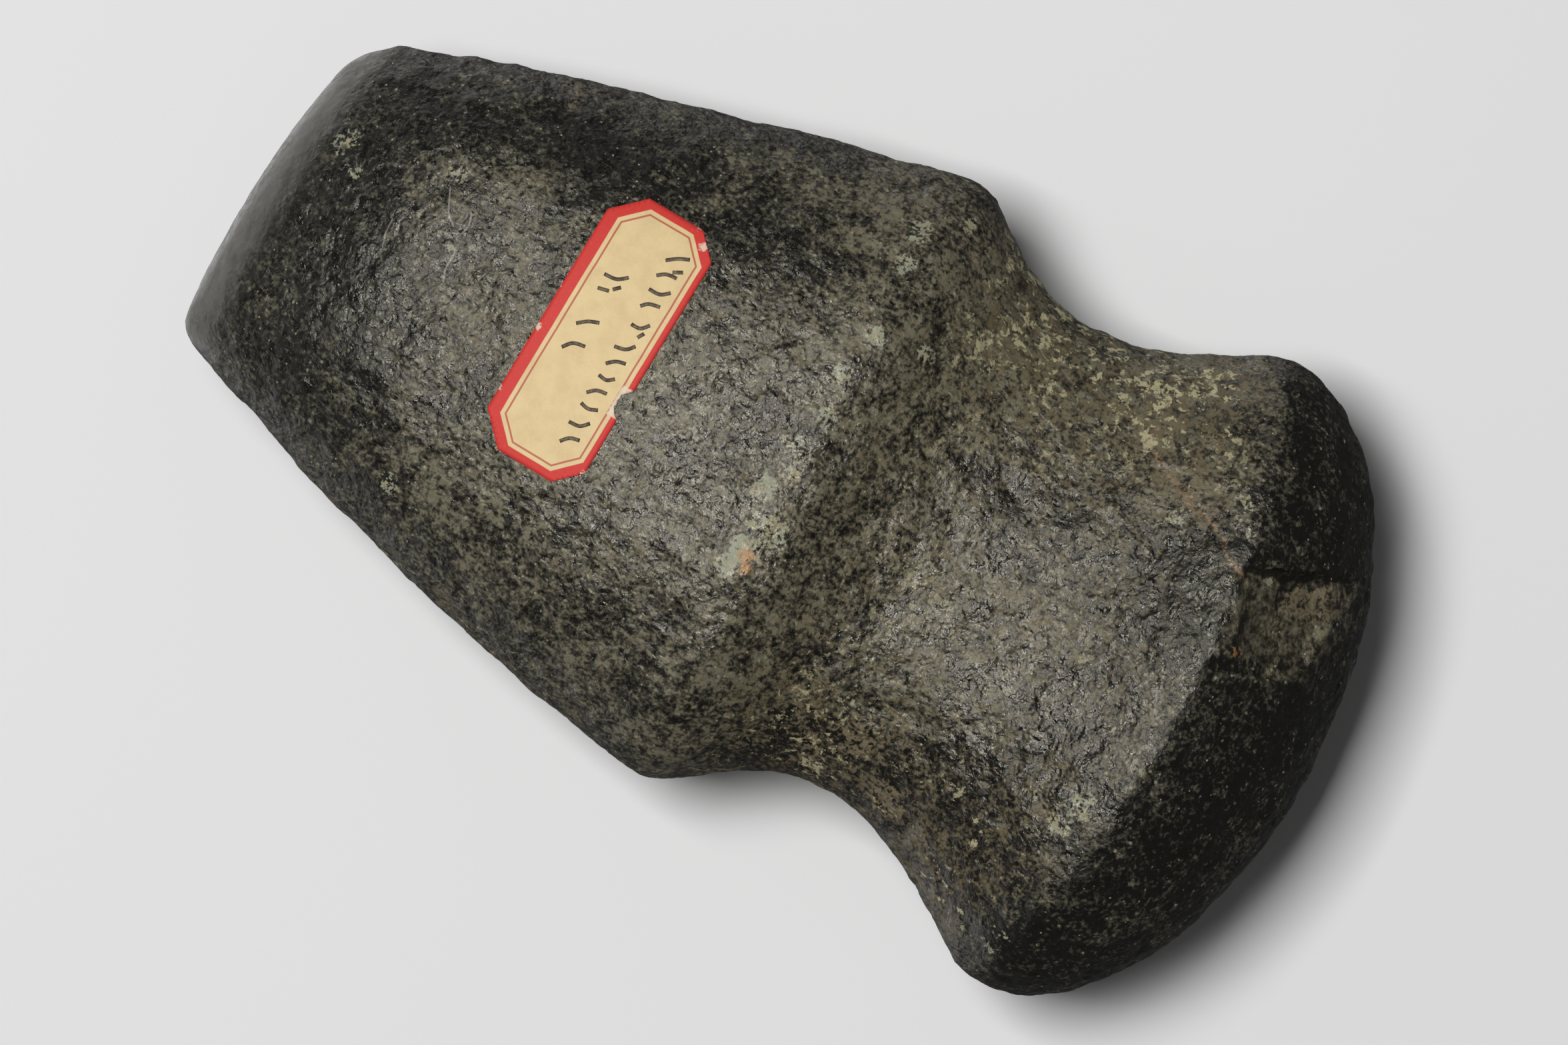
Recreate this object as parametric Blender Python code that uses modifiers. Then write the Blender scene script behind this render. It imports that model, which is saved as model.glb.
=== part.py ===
"""A full-grooved stone axe head lying on one broad face, with the paper label that is stuck to it.

Units are metres and +Z is up. +X runs from the blunted cutting edge, the bit, to the hammer end, the
poll. The underside rests on Z = 0, and the origin is at the middle of the underside's box.
"""

import math
from collections import namedtuple

import bmesh
import bpy
import numpy as np
from mathutils import Matrix, Vector
from mathutils.bvhtree import BVHTree

# Lengths along the stone
BLADE_LENGTH = 0.0833
GROOVE_LENGTH = 0.0491
POLL_LENGTH = 0.0275

# The bit: how far its edge sweeps back at its corners, and its blunt nose
BIT_SWEEP = 0.0033
BIT_APEX_Y = -0.0078
BIT_NOSE_LENGTH = 0.0070
BIT_HALF_THICKNESS = 0.0072

# Half thicknesses of the broad faces, from the plane of the bit
BEVEL_LENGTH = 0.0240
BEVEL_HALF_THICKNESS = 0.0188
SHOULDER_HALF_THICKNESS = 0.0272
POLL_HALF_THICKNESS = 0.0276
FACE_GROOVE_DEPTH = 0.0070

# How far the wear on the groove's two lips reaches to each side of them
LIP_ROUNDING = 0.0030

# The rounded end of the poll, whose rim bulges away from the groove
POLL_BULGE = 0.0074
POLL_APEX_Y = -0.0052

# How much of the underside is worn flat, below the plane that the stone would rock on
REST_FLAT_DEPTH = 0.0010

# Each narrow edge, as half widths from the stone's long axis
Edge = namedtuple("Edge", "bit corner_radius bow shoulder groove_depth poll squareness fullness")
FAR_EDGE = Edge(0.0220, 0.0064, 0.0007, 0.0465, 0.0100, 0.0466, 2.5, 1.8)
NEAR_EDGE = Edge(0.0241, 0.0022, 0.0022, 0.0455, 0.0119, 0.0464, 2.9, 2.1)

# Shapes of the hollows and the dome, which have no size of their own
EDGE_GROOVE_DEEPEST = 0.405
FACE_GROOVE_DEEPEST = 0.34
EDGE_LIP_SHARPNESS = 1.55
FACE_LIP_SHARPNESS = 1.25
DOME_PLAN_POWER = 2.4
DOME_FACE_POWER = 1.3
DOME_FACE_ROUND = 1.9
BEVEL_POWER = 1.4

# Flake scar on the poll: the middle of its steep wall, the wall's heading, and the flake's size
SCAR_FROM_RIM = 0.0060
SCAR_Y = 0.0209
SCAR_HEADING = math.radians(25.0)
SCAR_WALL_LENGTH = 0.0200
SCAR_REACH = 0.0150
SCAR_DEPTH = 0.0018
SCAR_TILT = math.radians(9.0)

# Paper label, laid across the blade
LABEL_LENGTH = 0.0382
LABEL_WIDTH = 0.0153
LABEL_BIT_SIDE_CUT = 0.0040
LABEL_POLL_SIDE_CUT = 0.0032
LABEL_THICKNESS = 0.00015
LABEL_CLEARANCE = 0.0003
LABEL_FROM_BIT = 0.0501
LABEL_Y = 0.0024
LABEL_HEADING = math.radians(88.9)
LABEL_TEAR_START = 0.0033
LABEL_TEAR_LENGTH = 0.0047
LABEL_TEAR_DEPTH = 0.0012
LABEL_GRID = 0.0016

# Mesh spacing
NOSE_RINGS = 7
BLADE_RINGS = 20
GROOVE_RINGS = 18
DOME_RINGS = 11
RING_HALF_SEGMENTS = 37
CURVE_SAMPLES = 241
ROUNDING_SAMPLES = 7
BLADE_RING_CROWDING = 1.5

# Where things lie along the stone before its ends are bowed
RIM_X = BLADE_LENGTH + GROOVE_LENGTH
DOME_LENGTH = POLL_LENGTH - POLL_BULGE
END_X = RIM_X + DOME_LENGTH
WELD = 1e-6
FAR_ABOVE = 0.2


def clear_scene():
    for old in list(bpy.data.objects):
        bpy.data.objects.remove(old, do_unlink=True)


def collection(name):
    made = bpy.data.collections.new(name)
    bpy.context.scene.collection.children.link(made)
    return made


def material(name, colour, roughness, metallic=0.0):
    made = bpy.data.materials.new(name)
    made.use_nodes = True
    shader = made.node_tree.nodes["Principled BSDF"]
    shader.inputs["Base Color"].default_value = (*colour, 1.0)
    shader.inputs["Roughness"].default_value = roughness
    shader.inputs["Metallic"].default_value = metallic
    made.diffuse_color = (*colour, 1.0)
    return made


def mix(low, high, share):
    return low + (high - low) * share


def clamped(share):
    return min(max(share, 0.0), 1.0)


def eased(share):
    share = clamped(share)
    return share * share * (3.0 - 2.0 * share)


def groove_share(x, deepest, lip_sharpness):
    """How much of the groove's full depth is cut at x, for a groove that is deepest at that share."""
    bottom = BLADE_LENGTH + deepest * GROOVE_LENGTH
    reach = bottom - BLADE_LENGTH if x < bottom else RIM_X - bottom
    away = clamped(abs(x - bottom) / reach)
    return (1.0 - away * away) ** lip_sharpness


def dome_share(x):
    return clamped((x - RIM_X) / DOME_LENGTH)


def lips_rounded(profile, x):
    """The profile's mean over the reach of the lips' rounding, which wears its corners off."""
    reach = np.linspace(-LIP_ROUNDING, LIP_ROUNDING, ROUNDING_SAMPLES)
    return sum(profile(x + step) for step in reach) / ROUNDING_SAMPLES


def waisted_half_width(edge, x):
    """A narrow edge's half width with its groove, before the bit's corner and the poll's dome."""
    if x < BLADE_LENGTH:
        share = x / BLADE_LENGTH
        width = mix(edge.bit, edge.shoulder, share) + edge.bow * 4.0 * share * (1.0 - share)
    else:
        width = mix(edge.shoulder, edge.poll, clamped((x - BLADE_LENGTH) / GROOVE_LENGTH))
    return width - edge.groove_depth * groove_share(x, EDGE_GROOVE_DEEPEST, EDGE_LIP_SHARPNESS)


def edge_half_width(edge, x):
    """The distance from the long axis to one narrow edge, in the plane of the bit."""
    width = lips_rounded(lambda place: waisted_half_width(edge, place), x)
    if x < edge.corner_radius:
        into_corner = 1.0 - x / edge.corner_radius
        width -= edge.corner_radius * (1.0 - math.sqrt(1.0 - into_corner * into_corner))
    return width * (1.0 - dome_share(x) ** DOME_PLAN_POWER) ** (1.0 / DOME_PLAN_POWER)


def waisted_half_thickness(x):
    """A broad face's height with its groove, before the bit's nose and the poll's dome."""
    if x < BLADE_LENGTH:
        slope = (SHOULDER_HALF_THICKNESS - BEVEL_HALF_THICKNESS) / (BLADE_LENGTH - BEVEL_LENGTH)
        thickness = BEVEL_HALF_THICKNESS + slope * (x - BEVEL_LENGTH)
        bevel_drop = BEVEL_HALF_THICKNESS - slope * BEVEL_LENGTH - BIT_HALF_THICKNESS
        thickness -= bevel_drop * clamped(1.0 - x / BEVEL_LENGTH) ** BEVEL_POWER
    else:
        share = clamped((x - BLADE_LENGTH) / GROOVE_LENGTH)
        thickness = mix(SHOULDER_HALF_THICKNESS, POLL_HALF_THICKNESS, share)
    return thickness - FACE_GROOVE_DEPTH * groove_share(x, FACE_GROOVE_DEEPEST, FACE_LIP_SHARPNESS)


def half_thickness(x):
    """The distance from the plane of the bit to a broad face, on the long axis."""
    thickness = lips_rounded(waisted_half_thickness, x)
    into_nose = clamped(1.0 - x / BIT_NOSE_LENGTH)
    thickness *= math.sqrt(1.0 - into_nose * into_nose)
    return thickness * (1.0 - dome_share(x) ** DOME_FACE_POWER) ** (1.0 / DOME_FACE_ROUND)


def bowed_x(x, y):
    """The bit's edge sweeps back at its corners, and the poll's end and rim bulge in their middle."""
    at_bit = 1.0 - eased(x / BEVEL_LENGTH)
    at_poll = eased((x - BLADE_LENGTH) / GROOVE_LENGTH)
    from_bit_apex = (y - BIT_APEX_Y) / (FAR_EDGE.bit - BIT_APEX_Y)
    from_poll_apex = (y - POLL_APEX_Y) / FAR_EDGE.poll
    sweep = BIT_SWEEP * from_bit_apex * from_bit_apex
    bulge = POLL_BULGE * (1.0 - from_poll_apex * from_poll_apex)
    return x + at_bit * sweep + at_poll * bulge


def half_section(x):
    """Points over the stone at x, from the far edge to the near one, evenly spaced, as (y, height)."""
    turn = np.linspace(0.0, math.pi, CURVE_SAMPLES)
    across, up = np.cos(turn), np.sin(turn)
    y, height = np.zeros_like(turn), np.zeros_like(turn)
    for edge, side in ((FAR_EDGE, 1.0), (NEAR_EDGE, -1.0)):
        here = across * side >= 0.0
        reach = edge_half_width(edge, x)
        y[here] = side * reach * np.abs(across[here]) ** (2.0 / edge.squareness)
        height[here] = half_thickness(x) * np.clip(up[here], 0.0, 1.0) ** (2.0 / edge.fullness)
    run = np.concatenate([[0.0], np.cumsum(np.hypot(np.diff(y), np.diff(height)))])
    even = np.linspace(0.0, run[-1], RING_HALF_SEGMENTS + 1)
    return list(zip(np.interp(even, run, y), np.interp(even, run, height)))


def ring_stations():
    """Places along the stone for its rings, closer together at the nose, the lips and the dome."""
    quarter = math.pi / 2.0
    nose = [BIT_NOSE_LENGTH * (1.0 - math.cos(quarter * i / NOSE_RINGS)) for i in range(NOSE_RINGS)]
    blade_run = BLADE_LENGTH - BIT_NOSE_LENGTH
    blade = [
        BIT_NOSE_LENGTH + blade_run * (1.0 - (1.0 - i / BLADE_RINGS) ** BLADE_RING_CROWDING)
        for i in range(BLADE_RINGS)
    ]
    groove = [
        BLADE_LENGTH + GROOVE_LENGTH * (1.0 - math.cos(math.pi * i / GROOVE_RINGS)) / 2.0
        for i in range(GROOVE_RINGS)
    ]
    dome = [RIM_X + DOME_LENGTH * math.sin(quarter * i / DOME_RINGS) for i in range(DOME_RINGS)]
    return nose + blade + groove + dome


def ring_points(x):
    """One closed ring round the stone: over the top face, then back under the bottom one."""
    section = half_section(x)
    over = [Vector((bowed_x(x, y), y, height)) for y, height in section]
    under = [Vector((bowed_x(x, y), y, -height)) for y, height in section[-2:0:-1]]
    return over + under


def stone_body():
    """The loft. Its first ring folds flat into the bit's edge, and its last one closes on a point."""
    bm = bmesh.new()
    rings = [[bm.verts.new(p) for p in ring_points(x)] for x in ring_stations()]
    count = len(rings[0])
    for ring, following in zip(rings, rings[1:]):
        for i in range(count):
            j = (i + 1) % count
            bm.faces.new((ring[i], ring[j], following[j], following[i]))
    tip = bm.verts.new((bowed_x(END_X, POLL_APEX_Y), 0.0, 0.0))
    for i in range(count):
        bm.faces.new((rings[-1][i], rings[-1][(i + 1) % count], tip))
    bmesh.ops.remove_doubles(bm, verts=bm.verts, dist=WELD)
    bmesh.ops.recalc_face_normals(bm, faces=bm.faces)
    return bm


def flatten_underside(bm):
    """Cuts the worn flats that the stone lies on, and returns their height."""
    lowest = min(v.co.z for v in bm.verts) + REST_FLAT_DEPTH
    everything = list(bm.verts) + list(bm.edges) + list(bm.faces)
    cut = bmesh.ops.bisect_plane(
        bm, geom=everything, plane_co=(0.0, 0.0, lowest), plane_no=(0.0, 0.0, -1.0), clear_outer=True
    )
    rim = [e for e in cut["geom_cut"] if isinstance(e, bmesh.types.BMEdge)]
    bmesh.ops.holes_fill(bm, edges=rim, sides=0)
    bmesh.ops.recalc_face_normals(bm, faces=bm.faces)
    return lowest


def make_stone(parts, finish):
    """The stone in its final place: resting on Z = 0, with its box centred on the origin."""
    bm = stone_body()
    lowest = flatten_underside(bm)
    middle = [
        (min(v.co[k] for v in bm.verts) + max(v.co[k] for v in bm.verts)) / 2.0 for k in (0, 1)
    ]
    offset = Vector((-middle[0], -middle[1], -lowest))
    bmesh.ops.translate(bm, verts=bm.verts, vec=offset)
    mesh = bpy.data.meshes.new("axe_head")
    bm.to_mesh(mesh)
    bm.free()
    mesh.shade_smooth()
    stone = bpy.data.objects.new("axe_head", mesh)
    stone.data.materials.append(finish)
    parts.objects.link(stone)
    return stone, offset


def surface_of(stone):
    bpy.context.view_layer.update()
    return BVHTree.FromObject(stone, bpy.context.evaluated_depsgraph_get())


def top_point(surface, x, y):
    """The point and outward normal of the stone's upper face above (x, y)."""
    point, normal, _, _ = surface.ray_cast(Vector((x, y, FAR_ABOVE)), Vector((0.0, 0.0, -1.0)))
    if point is None:
        raise ValueError(f"nothing of the stone lies under ({x:.4f}, {y:.4f})")
    return point, normal


def cut_scar(stone, offset, cutters):
    """Takes the flake off the poll with a half lens whose flat side leaves the scar's steep wall."""
    place = offset + Vector((bowed_x(RIM_X, SCAR_Y) + SCAR_FROM_RIM, SCAR_Y, 0.0))
    point, normal = top_point(surface_of(stone), place.x, place.y)
    heading = Vector((math.cos(SCAR_HEADING), math.sin(SCAR_HEADING), 0.0))
    along = (heading - normal * heading.dot(normal)).normalized()
    away = normal.cross(along) * -1.0
    axes = Matrix((along, away, normal)).transposed().to_4x4()
    tilt = Matrix.Rotation(-SCAR_TILT, 4, "X")
    size = Matrix.Diagonal((SCAR_WALL_LENGTH / 2.0, SCAR_REACH, SCAR_DEPTH, 1.0))

    bm = bmesh.new()
    bmesh.ops.create_uvsphere(bm, u_segments=28, v_segments=14, radius=1.0)
    everything = list(bm.verts) + list(bm.edges) + list(bm.faces)
    cut = bmesh.ops.bisect_plane(
        bm, geom=everything, plane_co=(0.0, 0.0, 0.0), plane_no=(0.0, -1.0, 0.0), clear_outer=True
    )
    rim = [e for e in cut["geom_cut"] if isinstance(e, bmesh.types.BMEdge)]
    bmesh.ops.holes_fill(bm, edges=rim, sides=0)
    bmesh.ops.transform(bm, matrix=Matrix.Translation(point) @ axes @ tilt @ size, verts=bm.verts)
    bmesh.ops.recalc_face_normals(bm, faces=bm.faces)
    mesh = bpy.data.meshes.new("flake_cutter")
    bm.to_mesh(mesh)
    bm.free()
    flake = bpy.data.objects.new("flake_cutter", mesh)
    flake.hide_render = True
    flake.display_type = "WIRE"
    cutters.objects.link(flake)
    cut_off = stone.modifiers.new("flake scar", "BOOLEAN")
    cut_off.operation = "DIFFERENCE"
    cut_off.solver = "EXACT"
    cut_off.object = flake


def label_outline():
    """The label's eight-sided outline, long way along +X, with the torn stretch of one long side."""
    half_length, half_width = LABEL_LENGTH / 2.0, LABEL_WIDTH / 2.0
    torn_side_cut, whole_side_cut = LABEL_POLL_SIDE_CUT, LABEL_BIT_SIDE_CUT
    tear_end = -LABEL_TEAR_START - LABEL_TEAR_LENGTH
    torn = -half_width + LABEL_TEAR_DEPTH
    return [
        (-half_length, -half_width + torn_side_cut),
        (-half_length + torn_side_cut, -half_width),
        (tear_end, -half_width),
        (mix(tear_end, -LABEL_TEAR_START, 0.3), torn),
        (mix(tear_end, -LABEL_TEAR_START, 0.8), torn),
        (-LABEL_TEAR_START, -half_width),
        (half_length - torn_side_cut, -half_width),
        (half_length, -half_width + torn_side_cut),
        (half_length, half_width - whole_side_cut),
        (half_length - whole_side_cut, half_width),
        (-half_length + whole_side_cut, half_width),
        (-half_length, half_width - whole_side_cut),
    ]


def make_label(parts, stone, offset, finish):
    """The label: its flat outline cut into a grid, laid down on the stone and given its thickness."""
    bm = bmesh.new()
    bm.faces.new([bm.verts.new((x, y, 0.0)) for x, y in label_outline()])
    for axis, size in ((0, LABEL_LENGTH), (1, LABEL_WIDTH)):
        normal = Vector((1.0 - axis, float(axis), 0.0))
        cells = math.ceil(size / LABEL_GRID)
        for i in range(1, cells):
            everything = list(bm.verts) + list(bm.edges) + list(bm.faces)
            place = normal * (size * i / cells - size / 2.0)
            bmesh.ops.bisect_plane(bm, geom=everything, plane_co=place, plane_no=normal)
    bmesh.ops.triangulate(bm, faces=bm.faces)

    middle = offset + Vector((LABEL_FROM_BIT, LABEL_Y, 0.0))
    turn = Matrix.Translation(middle) @ Matrix.Rotation(LABEL_HEADING, 4, "Z")
    bmesh.ops.transform(bm, matrix=turn, verts=bm.verts)
    surface = surface_of(stone)
    for vert in bm.verts:
        point, normal = top_point(surface, vert.co.x, vert.co.y)
        vert.co.z = point.z + LABEL_CLEARANCE / normal.z
    bmesh.ops.recalc_face_normals(bm, faces=bm.faces)
    if sum(face.normal.z for face in bm.faces) < 0.0:
        bmesh.ops.reverse_faces(bm, faces=bm.faces)
    mesh = bpy.data.meshes.new("paper_label")
    bm.to_mesh(mesh)
    bm.free()
    mesh.materials.append(finish)
    label = bpy.data.objects.new("paper_label", mesh)
    parts.objects.link(label)
    paper = label.modifiers.new("paper", "SOLIDIFY")
    paper.thickness = LABEL_THICKNESS
    paper.offset = 1.0
    return label


def main():
    clear_scene()
    parts = collection("grooved_axe_head")
    cutters = collection("cutters")
    greenstone = material("dark greenstone", (0.045, 0.043, 0.036), 0.55)
    aged_paper = material("aged paper", (0.72, 0.55, 0.29), 0.75)
    stone, offset = make_stone(parts, greenstone)
    cut_scar(stone, offset, cutters)
    make_label(parts, stone, offset, aged_paper)


main()
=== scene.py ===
"""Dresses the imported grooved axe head: pecked and ground greenstone with an old paper label on its blade.

Lengths are metres unless a name ends in _MM. +X runs from the bit to the poll, +Z is up.
"""

import math

import bmesh
import bpy
import numpy as np
from bpy.props import FloatProperty, FloatVectorProperty, IntProperty, PointerProperty
from mathutils import Matrix, Vector
from mathutils.bvhtree import BVHTree


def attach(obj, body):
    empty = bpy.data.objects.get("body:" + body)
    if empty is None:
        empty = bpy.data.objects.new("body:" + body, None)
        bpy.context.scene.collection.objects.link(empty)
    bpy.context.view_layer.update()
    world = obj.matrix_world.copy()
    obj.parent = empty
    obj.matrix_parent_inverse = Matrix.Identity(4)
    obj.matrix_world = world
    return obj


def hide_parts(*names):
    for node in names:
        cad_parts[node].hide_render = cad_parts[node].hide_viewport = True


bl_info = {
    "name": "Grooved axe head",
    "version": (1, 0, 0),
    "blender": (4, 5, 0),
    "location": "3D View > Sidebar > Axe head",
    "description": "Pecked greenstone, a paper label and a plain studio for a grooved stone axe head",
    "category": "Object",
}

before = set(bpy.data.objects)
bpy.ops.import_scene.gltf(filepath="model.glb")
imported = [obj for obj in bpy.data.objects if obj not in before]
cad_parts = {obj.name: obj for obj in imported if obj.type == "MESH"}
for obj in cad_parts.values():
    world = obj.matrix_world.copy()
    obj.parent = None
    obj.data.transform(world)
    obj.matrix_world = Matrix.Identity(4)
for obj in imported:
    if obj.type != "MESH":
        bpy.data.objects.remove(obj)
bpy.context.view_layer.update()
STONE_NODE = "axe_head"
LABEL_NODE = "paper_label"
BODY = "root"
MM = 0.001

# Where the stone's own features lie, in millimetres from the origin
NOSE_START_MM = -71.0
NOSE_END_MM = -76.5
SHOULDER_MM = 3.3
RIM_MM = 52.4
RIM_BULGE_MM = 7.4
RIM_APEX_Y_MM = -5.2
RIM_HALF_WIDTH_MM = 46.6

# The flake scar on the poll: the middle and heading of its wall, half its length and its reach
SCAR_WALL_MM = (64.3, 20.7)
SCAR_HEADING = math.radians(25.0)
SCAR_HALF_LENGTH_MM = 8.8
SCAR_REACH_MM = 15.0

# Packed faces are joined below one angle, and edges past this corner stay sharp above another
JOINED_ANGLE = math.radians(40.0)
SHARP_FROM_MM = (54.0, 2.0, 34.0)
SHARP_ANGLE = math.radians(28.0)

# Inside the scar: the crack at the foot of its wall, the second step, and arcs round a middle
CRACK_MM = (
    (57.2, 17.9),
    (58.2, 17.7),
    (59.2, 18.7),
    (60.8, 19.0),
    (61.7, 19.8),
    (63.1, 19.8),
    (64.6, 20.7),
    (65.6, 20.9),
    (66.7, 21.8),
    (67.9, 22.0),
    (69.2, 23.4),
    (71.1, 24.2),
)
STEP_MM = ((65.9, 21.3), (65.3, 20.7), (65.2, 19.6), (64.9, 19.0), (63.5, 18.5), (64.0, 17.3), (64.5, 16.2))
ARC_MIDDLE_MM = (66.0, 15.0)
ARC_RADIUS_MM = 6.6
ARC_TURN = 2.4

# The tan seam that runs into the scar, and the hair-thin scratches on the blade
SEAM_MM = ((40.5, 25.6), (44.8, 23.7), (47.5, 22.3), (50.4, 21.7), (52.9, 20.7), (55.5, 18.4), (57.4, 17.8))
SCRATCHES_MM = (
    ((-56.4, 9.7), (-54.8, 6.6), (-52.7, 5.1)),
    ((-52.2, 8.1), (-51.8, 6.6), (-52.2, 5.1)),
    ((-51.7, 2.9), (-51.7, 0.3), (-51.3, -0.8)),
    ((-61.0, 2.6), (-60.9, 0.6), (-60.5, -0.8)),
)

# Spots of pale mineral, rust, darker stone and tan on the upper face: x, y and radius
MINERAL_SPOTS_MM = (
    (0.6, 0.1, 1.7),
    (-0.4, 3.4, 2.2),
    (-1.6, -3.6, 1.5),
    (1.9, -8.4, 2.8),
    (0.6, -11.8, 2.2),
    (-0.4, -14.6, 1.5),
    (1.2, 8.4, 1.3),
    (0.2, 14.2, 1.5),
    (1.6, 20.7, 1.3),
    (0.0, 31.0, 1.5),
    (-0.6, 35.8, 1.7),
    (4.8, 39.9, 1.1),
    (8.6, 22.0, 1.6),
    (54.9, -18.9, 2.2),
    (53.5, -22.4, 1.6),
    (54.2, -39.6, 2.0),
    (46.8, 19.8, 1.2),
    (53.6, 26.0, 1.1),
    (55.6, 22.5, 1.0),
    (-71.7, 8.3, 1.7),
    (-68.9, 5.4, 1.2),
    (-56.4, 11.8, 1.3),
    (-44.2, -27.8, 1.5),
    (-52.6, 3.2, 0.8),
    (14.1, 5.5, 0.8),
    (61.6, 18.9, 0.8),
    (-78.2, -22.7, 1.4),
)
RUST_SPOTS_MM = ((1.1, -12.4, 0.75), (1.7, -13.9, 0.7), (62.4, 8.6, 0.5))
DARK_SPOTS_MM = ((54.6, 11.0, 6.0), (52.0, 14.5, 4.0), (-72.0, 0.0, 4.0), (-60.0, -16.0, 7.0), (-40.0, 24.0, 6.0))
TAN_SPOTS_MM = (
    (-49.1, 29.6, 1.8),
    (-47.2, 30.1, 1.2),
    (67.0, 18.6, 2.4),
    (70.0, 20.4, 1.8),
    (25.3, -26.3, 3.0),
    (33.0, -30.0, 2.4),
    (20.0, -30.0, 2.6),
)

# Places on the upper face that handling has worn smooth: x, y and radius
GLOSSY_SPOTS_MM = ((-4.0, -5.0, 17.0), (-16.0, -6.0, 15.0), (37.0, -14.0, 15.0), (24.0, -4.0, 12.0))

# Places that have lost small flakes, apart from the shoulder ridge
FLAKED_SPOTS_MM = ((-52.0, 0.0, 7.0), (-62.0, 22.0, 5.0), (30.0, -12.0, 8.0), (58.0, -24.0, 5.0))

# The label's outline in its own plane, long way along +X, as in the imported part
LABEL_MIDDLE_MM = (-29.85, 2.4)
LABEL_HEADING = math.radians(88.9)
LABEL_LENGTH_MM = 38.2
LABEL_WIDTH_MM = 15.3
LABEL_BIT_SIDE_CUT_MM = 4.0
LABEL_POLL_SIDE_CUT_MM = 3.2
LABEL_CELL_MM = 0.5
LABEL_MARGIN_MM = 2.5

# The tear in the label's edge: its start, end and depth, and the share of that depth from end to end
TEAR_MM = (-8.0, -3.3, 1.2)
TEAR_SHARES = (0.10, 0.55, 0.80, 1.00, 0.88, 1.06, 0.92, 0.98, 0.70, 0.34, 0.08)

# Rubbed places on the label's border, in its own plane: x, y and radius
WORN_SPOTS_MM = (
    (17.2, -5.6, 0.9),
    (-15.9, -7.4, 0.5),
    (18.9, -3.9, 0.5),
    (-2.6, 7.5, 0.8),
    (3.4, 7.6, 0.4),
    (-12.0, 7.6, 0.6),
)

# The label's print: how far it sits off the middle, how much longer it is, its corner cut, border and thin line
PRINT_SHIFT_MM = 0.45
PRINT_LONGER_MM = 0.15
PRINT_CORNER_CUT_MM = 3.75
BORDER_MM = 1.31
FINE_LINE_MM = 1.98

# Pen strokes: plain marks that aren't letters, as a row along the poll side and a few in the middle
INK_LIFT = 0.00004
INK_THICKNESS = 0.00002
PEN_POINT_SPACING_MM = 0.25
STROKES_MM = (
    ((14.9, -5.0), (14.2, -3.6), (13.2, -2.3)),
    ((13.0, -5.1), (12.3, -3.9)),
    ((11.9, -4.8), (11.7, -3.4), (10.9, -2.3)),
    ((9.9, -5.1), (9.0, -4.0), (8.9, -2.4)),
    ((7.6, -4.9), (7.2, -3.4), (6.4, -2.6)),
    ((4.9, -5.0), (3.9, -4.1), (3.8, -2.8)),
    ((3.6, -4.9), (2.7, -4.4)),
    ((1.6, -4.8), (0.6, -3.9), (0.2, -2.4)),
    ((-1.0, -4.9), (-1.4, -3.6), (-2.3, -2.6)),
    ((-3.4, -4.7), (-4.1, -3.8), (-4.0, -2.6)),
    ((-5.6, -4.8), (-5.9, -3.4), (-6.8, -2.4)),
    ((-8.0, -4.9), (-8.5, -3.7), (-8.3, -2.5)),
    ((-10.0, -4.9), (-11.0, -3.9), (-11.2, -2.4)),
    ((-12.6, -4.9), (-13.0, -3.6), (-14.0, -2.7)),
    ((8.8, 0.6), (7.8, 1.9), (7.6, 3.6)),
    ((7.2, 0.8), (6.4, 1.6)),
    ((6.0, 1.9), (5.6, 3.4)),
    ((1.8, 0.8), (1.2, 2.2), (0.2, 3.4)),
    ((-1.8, 0.8), (-2.2, 2.4), (-3.4, 3.4)),
)

# The studio: the camera's place over the stone, its turn, and the overhead light
STONE_MIDDLE_HEIGHT = 0.0269
CAMERA_X, CAMERA_Y = 0.00306, -0.00624
CAMERA_TURN = math.radians(30.0)
SENSOR_WIDTH = 36.0
FLOOR_SIDE = 6.0
LIGHT_PLACE = (-0.42, -0.02, 1.60)
LIGHT_AIM = (0.0, 0.0, 0.03)


# Settings


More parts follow.
